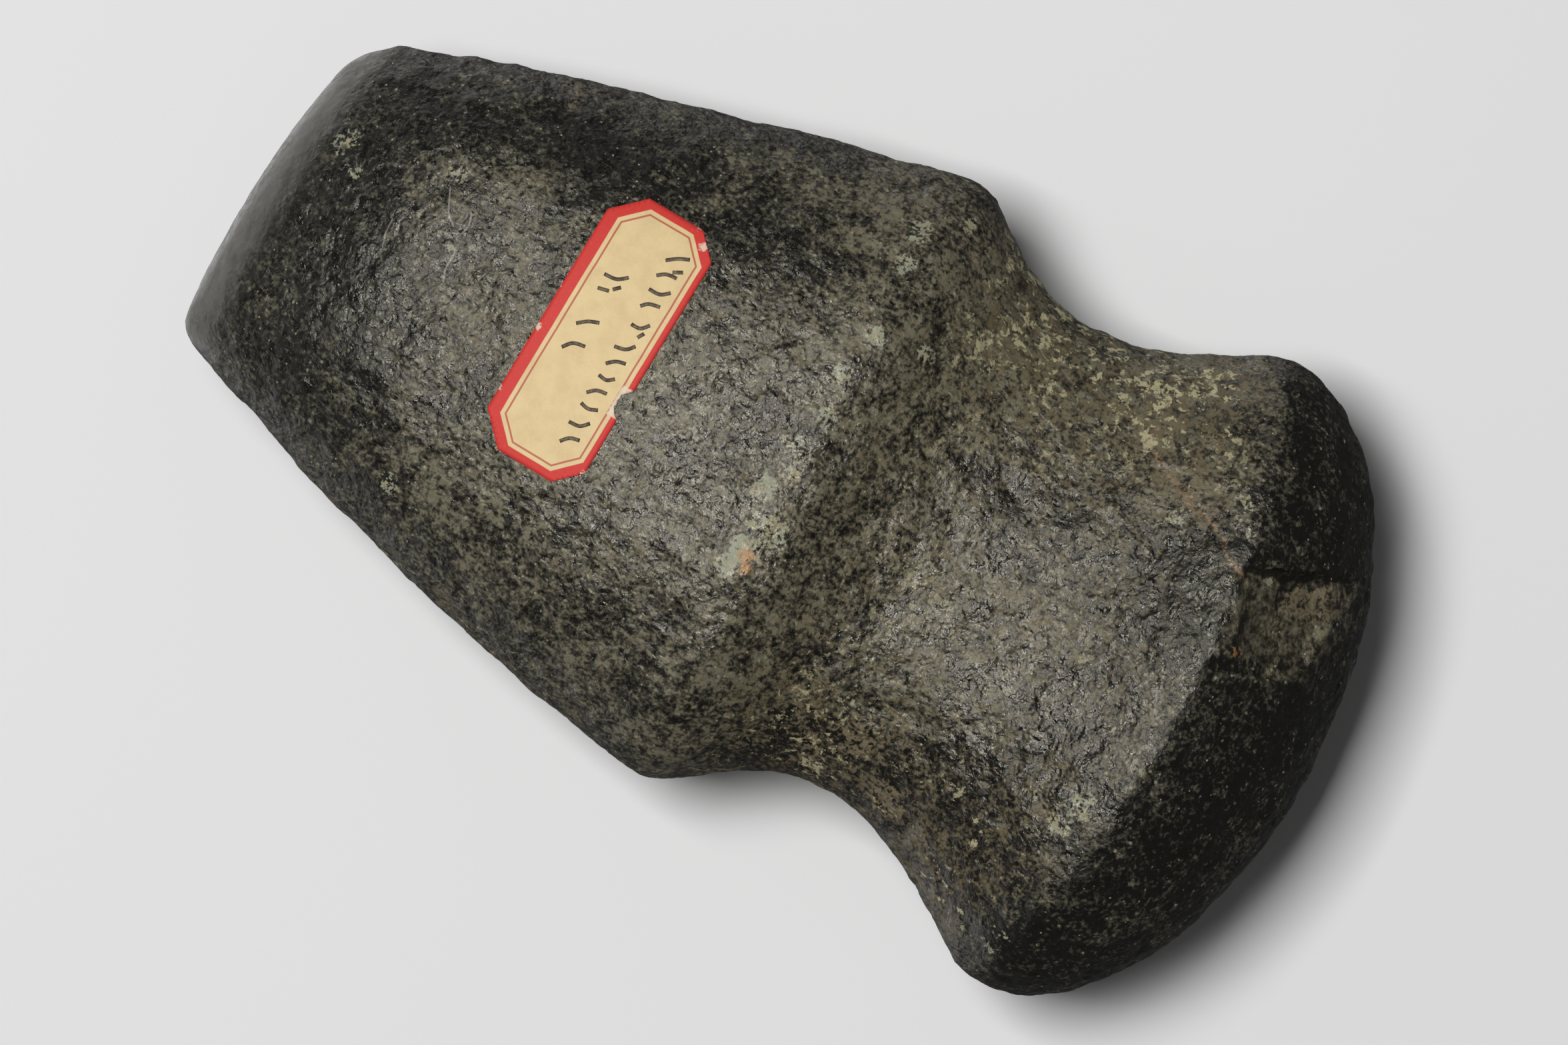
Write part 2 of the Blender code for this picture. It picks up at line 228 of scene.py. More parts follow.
class StoneSettings(bpy.types.PropertyGroup):
    """Sizes and colours of the greenstone."""

    cell: FloatProperty(
        name="Surface cell", description="Size of one cell of the stone's surface mesh", default=0.00071, unit="LENGTH"
    )
    swell_size: FloatProperty(
        name="Swell size", description="Width of the broad unevenness", default=0.013, unit="LENGTH"
    )
    swell_depth: FloatProperty(
        name="Swell depth", description="Depth of the broad unevenness", default=0.00050, unit="LENGTH"
    )
    dent_size: FloatProperty(name="Dent size", description="Width of the small dents", default=0.0036, unit="LENGTH")
    dent_depth: FloatProperty(name="Dent depth", description="Depth of the small dents", default=0.00058, unit="LENGTH")
    peck_size: FloatProperty(
        name="Peck spacing", description="Distance between the pecking marks", default=0.0023, unit="LENGTH"
    )
    peck_depth: FloatProperty(
        name="Peck depth", description="Depth of one pecking mark", default=0.00028, unit="LENGTH"
    )
    flake_size: FloatProperty(
        name="Flake size", description="Width of the small flakes on the ridge", default=0.0042, unit="LENGTH"
    )
    flake_depth: FloatProperty(
        name="Flake depth", description="Step from one small flake to the next", default=0.00022, unit="LENGTH"
    )
    crack_depth: FloatProperty(
        name="Crack depth", description="Depth of the cracks in the flake scar", default=0.00045, unit="LENGTH"
    )
    grain_depth: FloatProperty(
        name="Grain depth", description="Height of the mineral grain in the finish", default=0.00030, unit="LENGTH"
    )
    seed: IntProperty(name="Seed", description="Picks one layout of the marks", default=7)
    dark: FloatVectorProperty(
        name="Dark mineral", description="Colour of the dark grains", default=(0.0060, 0.0058, 0.0050), subtype="COLOR"
    )
    middle: FloatVectorProperty(
        name="Ground mass", description="Colour of most grains", default=(0.049, 0.044, 0.030), subtype="COLOR"
    )
    pale: FloatVectorProperty(
        name="Pale mineral", description="Colour of the pale grains", default=(0.160, 0.148, 0.098), subtype="COLOR"
    )
    mint: FloatVectorProperty(
        name="Mint mineral", description="Colour of the pale green patches", default=(0.30, 0.31, 0.23), subtype="COLOR"
    )
    soil: FloatVectorProperty(
        name="Soil", description="Brown of the old soil in the pores", default=(0.118, 0.092, 0.045), subtype="COLOR"
    )
    rust: FloatVectorProperty(
        name="Rust", description="Orange of the iron stains", default=(0.42, 0.19, 0.055), subtype="COLOR"
    )


class LabelSettings(bpy.types.PropertyGroup):
    """Sizes and colours of the paper label."""

    thickness: FloatProperty(
        name="Paper thickness", description="Thickness of the label", default=0.00014, unit="LENGTH"
    )
    lift: FloatProperty(
        name="Glue lift", description="Height of the paper's face above the stone", default=0.00020, unit="LENGTH"
    )
    paper: FloatVectorProperty(
        name="Paper", description="Colour of the aged paper", default=(0.76, 0.58, 0.300), subtype="COLOR"
    )
    border: FloatVectorProperty(
        name="Border", description="Colour of the printed border", default=(0.63, 0.032, 0.024), subtype="COLOR"
    )
    line: FloatVectorProperty(
        name="Fine line", description="Colour of the thin printed line", default=(0.45, 0.06, 0.04), subtype="COLOR"
    )
    ink: FloatVectorProperty(
        name="Ink", description="Colour of the pen strokes", default=(0.045, 0.034, 0.022), subtype="COLOR"
    )
    stroke_width: FloatProperty(
        name="Pen width", description="Width of one pen stroke", default=0.00050, unit="LENGTH"
    )


class StudioSettings(bpy.types.PropertyGroup):
    """The floor, the lights and the camera."""

    floor: FloatVectorProperty(
        name="Floor", description="Colour of the pale floor", default=(0.815, 0.815, 0.815), subtype="COLOR"
    )
    camera_height: FloatProperty(
        name="Camera height", description="Camera above the stone's middle plane", default=1.267, unit="LENGTH"
    )
    view_width: FloatProperty(
        name="View width", description="Width of the view at the stone's middle plane", default=0.207, unit="LENGTH"
    )
    key_power: FloatProperty(name="Key light", description="Power of the overhead light", default=24.0, unit="POWER")
    key_size: FloatProperty(name="Key size", description="Side of the overhead light", default=0.50, unit="LENGTH")
    low_glow: FloatProperty(
        name="Low glow", description="Light that the polished bit mirrors from the bit side, low down", default=1.0
    )
    sky: FloatProperty(name="Room light", description="Strength of the light from the room", default=0.07)


# Node helpers


def link(tree, value, socket):
    if isinstance(value, bpy.types.NodeSocket):
        tree.links.new(value, socket)
    elif value is not None:
        socket.default_value = value


def add(tree, kind, inputs=None, **settings):
    """Adds a node, sets its properties, and links or sets the named inputs."""
    made = tree.nodes.new(kind)
    for name, value in settings.items():
        setattr(made, name, value)
    for name, value in (inputs or {}).items():
        link(tree, value, made.inputs[name])
    return made


def maths(tree, operation, first, second=None, third=None, clamp=False):
    made = tree.nodes.new("ShaderNodeMath")
    made.operation = operation
    made.use_clamp = clamp
    for socket, value in zip(made.inputs, (first, second, third)):
        link(tree, value, socket)
    return made.outputs[0]


def product(tree, first, *others):
    for other in others:
        first = maths(tree, "MULTIPLY", first, other)
    return first


def swayed(tree, base, noise, weight):
    """The base, moved up and down by a noise about 0.5."""
    return maths(tree, "MULTIPLY_ADD", maths(tree, "SUBTRACT", noise, 0.5), weight, base)


def ranged(tree, value, low, high, out_low=0.0, out_high=1.0):
    """Maps low..high smoothly to out_low..out_high, and holds the ends."""
    made = add(
        tree,
        "ShaderNodeMapRange",
        {"Value": value, "From Min": low, "From Max": high, "To Min": out_low, "To Max": out_high},
        interpolation_type="SMOOTHSTEP",
    )
    return made.outputs["Result"]


def rgba(colour):
    return (*colour, 1.0)


def mixed(tree, share, first, second):
    """Two colours mixed; a colour mix has its colours in sockets 6 and 7."""
    return add(tree, "ShaderNodeMix", {0: share, 6: first, 7: second}, data_type="RGBA").outputs[2]


def clouds(tree, place, size, detail=3.0, roughness=0.55, distortion=0.0):
    """A noise whose features are about the given size in metres."""
    return add(
        tree,
        "ShaderNodeTexNoise",
        {"Vector": place, "Scale": 1.0 / size, "Detail": detail, "Roughness": roughness, "Distortion": distortion},
    ).outputs[0]


def shifted(tree, place, offset):
    return add(tree, "ShaderNodeVectorMath", {0: place, 1: offset}, operation="ADD").outputs[0]


def layered(tree, place, layer):
    """A noise from a listed layer: its offset, then the size and the rest for clouds."""
    offset, *rest = layer
    return clouds(tree, shifted(tree, place, offset), *rest)


def cells(tree, place, grains):
    """Round grains of a listed offset and size: distance from each one's middle, and its own random numbers."""
    offset, size = grains
    made = add(tree, "ShaderNodeTexVoronoi", {"Vector": shifted(tree, place, offset), "Scale": 1.0 / size})
    return made.outputs["Distance"], add(tree, "ShaderNodeSeparateColor", {"Color": made.outputs["Color"]}).outputs


def attribute(tree, name):
    return add(tree, "ShaderNodeAttribute", attribute_name=name).outputs["Fac"]


def new_material(name):
    made = bpy.data.materials.new(name)
    made.use_nodes = True
    return made, made.node_tree, made.node_tree.nodes["Principled BSDF"]


SOCKET_KINDS = {int: "NodeSocketInt", float: "NodeSocketFloat", bpy.types.Material: "NodeSocketMaterial"}


def new_tree(name, values):
    """A geometry tree with one input for each named value, and the sockets that hand them on."""
    tree = bpy.data.node_groups.new(name, "GeometryNodeTree")
    for in_out in ("INPUT", "OUTPUT"):
        tree.interface.new_socket("Geometry", in_out=in_out, socket_type="NodeSocketGeometry")
    for label, value in values.items():
        tree.interface.new_socket(label, in_out="INPUT", socket_type=SOCKET_KINDS[type(value)])
    return tree, tree.nodes.new("NodeGroupInput").outputs


def end_tree(tree, geometry, finish):
    """Ends a geometry tree in real geometry with its material on."""
    whole = add(tree, "GeometryNodeRealizeInstances", {"Geometry": geometry})
    painted = add(tree, "GeometryNodeSetMaterial", {"Geometry": whole.outputs[0], "Material": finish})
    tree.links.new(painted.outputs[0], tree.nodes.new("NodeGroupOutput").inputs["Geometry"])
    return tree


def run_tree(obj, tree, values):
    """Sets the tree's inputs by their identifiers and makes its result the object's mesh."""
    modifier = obj.modifiers.new(tree.name, "NODES")
    modifier.node_group = tree
    for socket in tree.interface.items_tree:
        if socket.name in values and socket.in_out == "INPUT":
            modifier[socket.identifier] = values[socket.name]
    return applied(obj)


def in_scene(name, data):
    made = bpy.data.objects.new(name, data)
    bpy.context.scene.collection.objects.link(made)
    return made


# Stone finish


# Tints of single minerals and marks, beside those in the settings
BROWNER_GRAIN = (0.148, 0.128, 0.084, 1.0)
DAMP_SOIL = (0.018, 0.012, 0.007, 1.0)
FRESH_BREAK_DARK = (0.016, 0.014, 0.009, 1.0)
FRESH_BREAK_PALE = (0.190, 0.168, 0.108, 1.0)
TAN = (0.17, 0.135, 0.080, 1.0)
CREAM = (0.30, 0.275, 0.165, 1.0)
CRACK_SHADE = (0.005, 0.004, 0.003, 1.0)
PALE_CRUMB = (0.42, 0.38, 0.225, 1.0)
# Painted glint: the tint of bright specks that stand for sparkles of light
PAINTED_GLINT = (0.42, 0.40, 0.30, 1.0)
SEAM_TAN = (0.210, 0.145, 0.082, 1.0)
SCRATCH_GREY = (0.36, 0.34, 0.29, 1.0)
GROUND_DARK = (0.028, 0.027, 0.024, 1.0)
GROUND_PALE = (0.050, 0.047, 0.040, 1.0)
SHEEN_TINT = (1.0, 0.94, 0.82, 1.0)

# Noises of the stone: offset, size in metres, detail, roughness and distortion
GRAIN_LAYERS = (
    ((0.02, 0.61, 0.33), 0.0140, 3.0, 0.62, 0.3),
    ((0.77, 0.05, 0.19), 0.0040, 4.0, 0.62, 0.3),
    ((0.31, 0.12, 0.05), 0.00125, 4.0, 0.62, 0.3),
    ((0.12, 0.44, 0.71), 0.00060, 2.0, 0.62, 0.3),
)
GRAIN_WEIGHTS = (0.85, 1.20, 1.75, 1.75)
HUE_PATCHES = ((0.5, 0.2, 0.9), 0.0021, 4.0, 0.62, 0.4)
CRUMBS = ((0.83, 0.37, 0.51), 0.0014, 4.0, 0.70, 0.4)
CRUMB_CLUSTERS = ((0.27, 0.63, 0.91), 0.0080, 2.0, 0.5)
PEBBLES = ((0.15, 0.85, 0.35), 0.0013, 5.0, 0.66)
SHEEN_PATCHES = ((0.35, 0.55, 0.15), 0.0060, 2.0, 0.5)
FACETS = ((0.45, 0.95, 0.05), 0.0012, 1.5, 0.5)
SHARP_GRAINS = ((0.65, 0.25, 0.75), 0.00045, 2.0, 0.5)

# Scattered grains, and specks of painted glint: offset and size in metres
FLECKS = ((0.2, 0.7, 0.4), 0.0012)
GLINT_SPECKS = ((0.6, 0.3, 0.8), 0.0009)
GLASSY_GRAINS = ((0.9, 0.4, 0.1), 0.0008)


def stone_grain(tree, place):
    """Crystals under a millimetre, gathered in patches: about 0 in the darkest and 1 in the palest."""
    grain = 0.5
    for layer, weight in zip(GRAIN_LAYERS, GRAIN_WEIGHTS):
        grain = swayed(tree, grain, layered(tree, place, layer), weight)
    return grain


def soiled_stone(tree, settings, grain, hue, soil_share):
    """Dark, middling and pale grains, shifted by the stored tone with its painted shade and highlight, with brown soil
    in the pores.
    """
    # The tone carries painted shade on the poll and the blade's sides and a painted highlight on the blade's far edge
    toned = maths(tree, "ADD", grain, attribute(tree, "tone"))
    dark = mixed(tree, ranged(tree, toned, 0.20, 0.52), rgba(settings.dark), rgba(settings.middle))
    pale = mixed(tree, ranged(tree, hue, 0.42, 0.58), rgba(settings.pale), BROWNER_GRAIN)
    colour = mixed(tree, ranged(tree, toned, 0.50, 0.86), dark, pale)
    soil = mixed(tree, ranged(tree, grain, 0.32, 0.80), DAMP_SOIL, rgba(settings.soil))
    return mixed(tree, soil_share, colour, soil)


def with_scar(tree, colour, grain, hue):
    """The paler, even-grained face of the break, with faint arcs painted as light and shade over the ripples."""
    share = ranged(tree, swayed(tree, attribute(tree, "scar"), hue, 2.6), 0.0, 0.70)
    # The arcs are painted light and shade: lighter on the crests and darker in the troughs of the ripple relief
    ripple = maths(tree, "COSINE", product(tree, attribute(tree, "ripple"), ARC_TURN))
    even_grain = maths(tree, "MULTIPLY_ADD", hue, 0.9, product(tree, grain, 0.45))
    freshness = maths(tree, "MULTIPLY_ADD", product(tree, ripple, attribute(tree, "arcs")), 0.13, even_grain)
    fresh = mixed(tree, ranged(tree, freshness, 0.42, 1.06), FRESH_BREAK_DARK, FRESH_BREAK_PALE)
    return mixed(tree, product(tree, share, 0.85), colour, fresh)


def with_stains(tree, colour, grain, stains):
    """Grain by grain, more of them stained the deeper the point lies in the stain."""
    for name, tint, low, high, most in stains:
        depth = attribute(tree, name)
        edge = maths(tree, "MULTIPLY_ADD", depth, 0.40, product(tree, grain, 0.90))
        share = product(tree, ranged(tree, edge, low, high, 0.0, most), ranged(tree, depth, 0.0, 0.35))
        colour = mixed(tree, share, colour, tint)
    return colour


def with_cracks_and_shadow(tree, colour, hue):
    """The dark ragged lines of the crack and of the second step: the dark crack, with painted shadow at the foot of the
    scar's wall and step.
    """
    for name, half_width in (("crack", 0.42), ("step", 0.26)):
        ragged = maths(tree, "ABSOLUTE", swayed(tree, attribute(tree, name), hue, 1.6))
        line = ranged(tree, ragged, half_width + 0.16, half_width - 0.16)
        colour = mixed(tree, product(tree, line, attribute(tree, name + "_near"), 0.9), colour, CRACK_SHADE)
    return colour


def with_grains_and_glints(tree, place, colour, grain, polish, milky):
    """Pale flecks all over, ragged pale crumbs in the soiled groove, and painted glints: small bright specks that stand
    for sparkles of light.
    """
    away, own = cells(tree, place, FLECKS)
    share = product(tree, ranged(tree, away, 0.26, 0.12), ranged(tree, own["Red"], 0.72, 0.80))
    unpolished = maths(tree, "SUBTRACT", 1.0, polish, clamp=True)
    share = product(tree, share, ranged(tree, grain, 0.35, 0.65, 0.1, 0.75), unpolished)
    colour = mixed(tree, share, colour, milky)

    crumbs = swayed(tree, layered(tree, place, CRUMBS), layered(tree, place, CRUMB_CLUSTERS), 0.45)
    crumbs = maths(tree, "MULTIPLY_ADD", attribute(tree, "tone"), 0.20, crumbs)
    share = product(tree, ranged(tree, crumbs, 0.615, 0.660, 0.0, 0.95), attribute(tree, "soil"))
    colour = mixed(tree, share, colour, PALE_CRUMB)

    # Painted glint: small near-white specks scattered over the stone
    away, own = cells(tree, place, GLINT_SPECKS)
    share = product(tree, ranged(tree, away, 0.20, 0.10), ranged(tree, own["Red"], 0.86, 0.90), 0.7)
    return mixed(tree, share, colour, PAINTED_GLINT)


def with_thin_lines(tree, colour, grain):
    """The tan seam and the hair-thin scratches."""
    seam = ranged(tree, maths(tree, "ABSOLUTE", attribute(tree, "seam")), 0.65, 0.10)
    seam = product(tree, seam, attribute(tree, "seam_near"), ranged(tree, grain, 0.25, 0.60, 0.15, 0.75))
    colour = mixed(tree, seam, colour, SEAM_TAN)
    scratch = ranged(tree, maths(tree, "ABSOLUTE", attribute(tree, "scratch")), 0.16, 0.04, 0.0, 0.5)
    return mixed(tree, scratch, colour, SCRATCH_GREY)


def stone_roughness(tree, place, grain, polish, soil_share):
    """Glossier where handling wore the stone and on glassy grains, duller in soil."""
    rough = ranged(tree, grain, 0.20, 0.85, 0.19, 0.37)
    patchy = layered(tree, place, SHEEN_PATCHES)
    gloss = product(tree, attribute(tree, "gloss"), ranged(tree, patchy, 0.32, 0.62, 0.15, 1.0))
    rough = maths(tree, "ADD", rough, maths(tree, "MULTIPLY_ADD", gloss, -0.16, 0.16))
    glassy = ranged(tree, cells(tree, place, GLASSY_GRAINS)[1]["Green"], 0.58, 0.70, 0.045, -0.17)
    rough = maths(tree, "ADD", rough, glassy)
    rough = maths(tree, "MULTIPLY_ADD", soil_share, 0.12, rough)
    return maths(tree, "MULTIPLY_ADD", polish, -0.20, rough, clamp=True)


def stone_bumps(tree, place, pebbles, polish, depth):
    """Normals of the mineral grain, nearly flat where the stone is polished."""
    height = maths(tree, "MULTIPLY_ADD", layered(tree, place, SHARP_GRAINS), 0.16, product(tree, pebbles, 0.34))
    height = maths(tree, "MULTIPLY_ADD", layered(tree, place, FACETS), 0.56, height)
    height = product(tree, height, maths(tree, "MULTIPLY_ADD", polish, -0.85, 1.0))
    return add(tree, "ShaderNodeBump", {"Strength": 1.0, "Distance": depth * 2.0, "Height": height}).outputs["Normal"]


def stone_finish(settings):
    """Greenstone: speckled crystals, dark where it is polished, paler and browner where it is pecked, with painted
    shade, a painted highlight and painted glints mixed into its colour.
    """
    material, tree, shader = new_material("dark greenstone")
    place = add(tree, "ShaderNodeTexCoord").outputs["Object"]
    grain = stone_grain(tree, place)
    hue = layered(tree, place, HUE_PATCHES)
    pebbles = layered(tree, place, PEBBLES)
    polish = attribute(tree, "polish")
    soil_share = ranged(tree, swayed(tree, hue, grain, 0.40), 0.38, 0.64, 0.10, 0.85)
    soil_share = product(tree, attribute(tree, "soil"), soil_share)
    milky = mixed(tree, ranged(tree, hue, 0.42, 0.58), rgba(settings.mint), CREAM)

    colour = soiled_stone(tree, settings, grain, hue, soil_share)
    colour = with_scar(tree, colour, grain, hue)
    stains = (
        ("tan_stain", TAN, 0.60, 0.95, 0.75),
        ("mineral", milky, 0.74, 0.92, 0.90),
        ("rust_stain", rgba(settings.rust), 0.55, 0.85, 0.75),
    )
    colour = with_stains(tree, colour, grain, stains)
    colour = with_cracks_and_shadow(tree, colour, hue)
    colour = with_grains_and_glints(tree, place, colour, grain, polish, milky)
    colour = with_thin_lines(tree, colour, grain)
    # Painted shade in the pits: the low points of the pebble bump are darkened towards the dark mineral
    colour = mixed(tree, ranged(tree, pebbles, 0.45, 0.34, 0.0, 0.75), colour, rgba(settings.dark))
    ground = mixed(tree, ranged(tree, hue, 0.40, 0.60), GROUND_DARK, GROUND_PALE)
    colour = mixed(tree, product(tree, polish, 0.85), colour, ground)

    bumps = stone_bumps(tree, place, pebbles, polish, settings.grain_depth)
    link(tree, colour, shader.inputs["Base Color"])
    link(tree, stone_roughness(tree, place, grain, polish, soil_share), shader.inputs["Roughness"])
    link(tree, bumps, shader.inputs["Normal"])
    link(tree, bumps, shader.inputs["Coat Normal"])
    shader.inputs["Specular Tint"].default_value = SHEEN_TINT
    shader.inputs["Coat Weight"].default_value = 0.10
    shader.inputs["Coat Roughness"].default_value = 0.14
    return material


# Stone surface


def smooth_copy(node, name):
    """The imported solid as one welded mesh, rounded between its rings."""
    bm = bmesh.new()
    bm.from_mesh(node.data)
    bmesh.ops.remove_doubles(bm, verts=bm.verts, dist=1e-6)
    bmesh.ops.join_triangles(bm, faces=bm.faces, angle_face_threshold=JOINED_ANGLE, angle_shape_threshold=JOINED_ANGLE)
    crease = bm.edges.layers.float.get("crease_edge") or bm.edges.layers.float.new("crease_edge")
    for edge in bm.edges:
        middle = (edge.verts[0].co + edge.verts[1].co) / 2.0 / MM
        in_scar = all(at > low for at, low in zip(middle, SHARP_FROM_MM))
        if in_scar and len(edge.link_faces) == 2 and edge.calc_face_angle() > SHARP_ANGLE:
            edge[crease] = 1.0
    mesh = bpy.data.meshes.new(name)
    bm.to_mesh(mesh)
    bm.free()
    mesh.shade_smooth()
    return in_scene(name, mesh)


def applied(obj):
    """Turns the object's modifiers into its mesh."""
    graph = bpy.context.evaluated_depsgraph_get()
    mesh = bpy.data.meshes.new_from_object(obj.evaluated_get(graph), preserve_all_data_layers=True, depsgraph=graph)
    obj.modifiers.clear()
    old = obj.data
    obj.data = mesh
    bpy.data.meshes.remove(old)
    return obj


def vectors(items, name):
    flat = np.zeros(len(items) * 3, np.float32)
    items.foreach_get(name, flat)
    return flat.reshape(-1, 3).astype(float)


def store(mesh, name, values):
    layer = mesh.attributes.get(name) or mesh.attributes.new(name, "FLOAT", "POINT")
    layer.data.foreach_set("value", np.ascontiguousarray(values, np.float32))


def eased(values, low, high):
    share = np.clip((values - low) / (high - low), 0.0, 1.0)
    return share * share * (3.0 - 2.0 * share)


def band(values, rise, top, fall, end):
    """1 from top to fall, easing to 0 at rise and at end."""
    return eased(values, rise, top) * (1.0 - eased(values, fall, end))


def spots(points, listed, soft):
    """How much each point, in millimetres, lies in one of the listed round spots on the upper face."""
    share = np.zeros(len(points))
    for x, y, radius in listed:
        away = np.hypot(points[:, 0] - x, points[:, 1] - y)
        share = np.maximum(share, 1.0 - eased(away, radius * soft, radius * (2.0 - soft)))
    return share


def along_line(points, line):
    """Signed distance to a bent line seen from above, and how near each point is to the line's run."""
    best = np.full(len(points), np.inf)
    signed = np.zeros(len(points))
    for (ax, ay), (bx, by) in zip(line, line[1:]):
        run = np.array([bx - ax, by - ay])
        length = np.hypot(*run)
        run = run / length
        away = points[:, :2] - np.array([ax, ay])
        share = np.clip(away @ run, 0.0, length)
        gap = np.hypot(away[:, 0] - share * run[0], away[:, 1] - share * run[1])
        side = np.sign(away[:, 0] * run[1] - away[:, 1] * run[0])
        closer = gap < best
        best = np.where(closer, gap, best)
        signed = np.where(closer, gap * side, signed)
    return signed, 1.0 - eased(best, 1.0, 2.2)


def label_plane(points):
    """Points in the label's own plane: along its length, across its width."""
    away = points[:, :2] - np.array(LABEL_MIDDLE_MM)
    along, across = math.cos(LABEL_HEADING), math.sin(LABEL_HEADING)
    return np.stack([away @ (along, across), away @ (-across, along)], 1)


def mark_tone_and_painted_shade(mesh, points, facing, rim, in_groove):
    """Writes where the stone is made paler (above 0) or darker than its ground mass, partly as painted shade and a
    painted highlight, and where soil lies.
    """
    x, y, _ = points.T
    on_blade = 1.0 - eased(x, -4.0, SHOULDER_MM)
    ragged_rim = rim + 0.9 * np.sin(0.55 * y) + 0.5 * np.sin(1.7 * y + 1.0)
    tones = {
        "whole stone": (0.06, 1.0),
        # Painted shade: the far side of the blade, which turns away from the light, is darkened
        "far side of the blade": (-0.32, eased(y, 10.0, 28.0) * (1.0 - eased(x, -24.0, -4.0))),
        # Painted highlight: faces turned towards the far side are made paler, as the edge's reflection would be
        "far edge of the blade": (0.16, on_blade * eased(facing[:, 1], 0.45, 0.80)),
        # Painted shade where the blade rolls down towards its near edge
        "near side of the blade": (-0.10, on_blade * eased(-y, 20.0, 36.0)),
        "bit": (-0.20, 1.0 - eased(x, -68.0, -52.0)),
        "front of the blade": (-0.13, 1.0 - eased(x, -52.0, -34.0)),
        "foot of the shoulder": (0.04, band(x, 2.0, 5.0, 9.0, 18.0)),
        "groove towards the poll": (-0.10, eased(x, 36.0, 50.0)),
        # Painted shade on the poll's slopes past its rim, which face away from the light
        "poll": (-0.30, eased(x, ragged_rim - 3.0, ragged_rim + 3.0)),
        "far side of the groove": (0.24, in_groove * eased(y, 14.0, 30.0)),
        "floor of the groove": (-0.05, in_groove * eased(x, 16.0, 34.0)),
        "near side of the groove": (-0.10, in_groove * eased(-y, 16.0, 32.0)),
        "dark spots": (-0.22, spots(points, DARK_SPOTS_MM, 0.1)),
    }
    tone = sum(amount * share for amount, share in tones.values())
    store(mesh, "tone", np.where(facing[:, 2] > 0.0, tone, np.minimum(tone, 0.0)))
    soil = in_groove * (0.35 + 0.65 * eased(np.abs(y), 12.0, 34.0))
    near_edge = eased(-facing[:, 1], 0.80, 0.95) * band(x, -62.0, -50.0, -12.0, -2.0)
    store(mesh, "soil", np.maximum(soil, 0.9 * near_edge))


def mark_scar(mesh, points, upper):
    """Writes the scar's broken face, its arcs, its crack and its second step."""
    heading = np.array([math.cos(SCAR_HEADING), math.sin(SCAR_HEADING)])
    away = points[:, :2] - np.array(SCAR_WALL_MM)
    run = away @ heading
    reach = away @ np.array([heading[1], -heading[0]])
    scar = 1.0 - ((run + 1.2) / (SCAR_HALF_LENGTH_MM + 2.2)) ** 2 - (np.maximum(reach, 0.0) / SCAR_REACH_MM) ** 2
    scar = np.where(reach < -0.3, -1.0, scar) * upper
    store(mesh, "scar", scar)
    out_x, out_y = (points[:, :2] - np.array(ARC_MIDDLE_MM)).T
    from_middle = np.hypot(out_x, out_y)
    arcs = band(from_middle, 3.4, 5.4, 7.6, 9.4) * eased(-0.8 * out_x - 0.6 * out_y, 1.0, 5.0)
    store(mesh, "ripple", from_middle - ARC_RADIUS_MM)
    store(mesh, "arcs", arcs * np.clip(scar * 2.0, 0.0, 1.0))
    opened = np.zeros(len(points))
    for name, line, wide in (("crack", CRACK_MM, 0.70), ("step", STEP_MM, 0.55)):
        gap, near = along_line(points, line)
        store(mesh, name, gap)
        store(mesh, name + "_near", near * upper)
        opened = np.maximum(opened, np.exp(-((gap / wide) ** 2)) * upper)
    store(mesh, "opened", opened)


def mark_thin_lines(mesh, points, facing, upper):
    """Writes the distance to the seam and to the nearest scratch."""
    seam, seam_near = along_line(points, SEAM_MM)
    store(mesh, "seam", seam)
    store(mesh, "seam_near", seam_near * upper)
    nearest = np.full(len(points), 9.0)
    for scratch in SCRATCHES_MM:
        gap, near = along_line(points, scratch)
        nearest = np.where((np.abs(gap) < np.abs(nearest)) & (near > 0.0) & (facing[:, 2] > 0.0), gap, nearest)
    store(mesh, "scratch", nearest)


def mark_relief(mesh, points, upper, polish, in_groove, rim):
    """Writes how much of the swells, small flakes and pecking marks each place has."""
    x, _, z = points.T
    along, across = np.abs(label_plane(points)).T
    under_label = 1.0 - eased(along, LABEL_LENGTH_MM / 2.0, LABEL_LENGTH_MM / 2.0 + LABEL_MARGIN_MM)
    under_label *= 1.0 - eased(across, LABEL_WIDTH_MM / 2.0, LABEL_WIDTH_MM / 2.0 + LABEL_MARGIN_MM)
    under_label *= upper
    relief = (1.0 - 0.70 * polish) * (1.0 - 0.92 * under_label) * eased(z, 0.3, 2.0)
    store(mesh, "relief", relief)
    ridge = band(x, -16.0, -6.0, 3.0, 7.0)
    store(mesh, "flakes", relief * np.maximum(ridge, 0.8 * spots(points, FLAKED_SPOTS_MM, 0.2)))
    store(mesh, "pecks", relief * (0.45 + 0.55 * np.maximum(in_groove, eased(x, rim, rim + 5.0))))


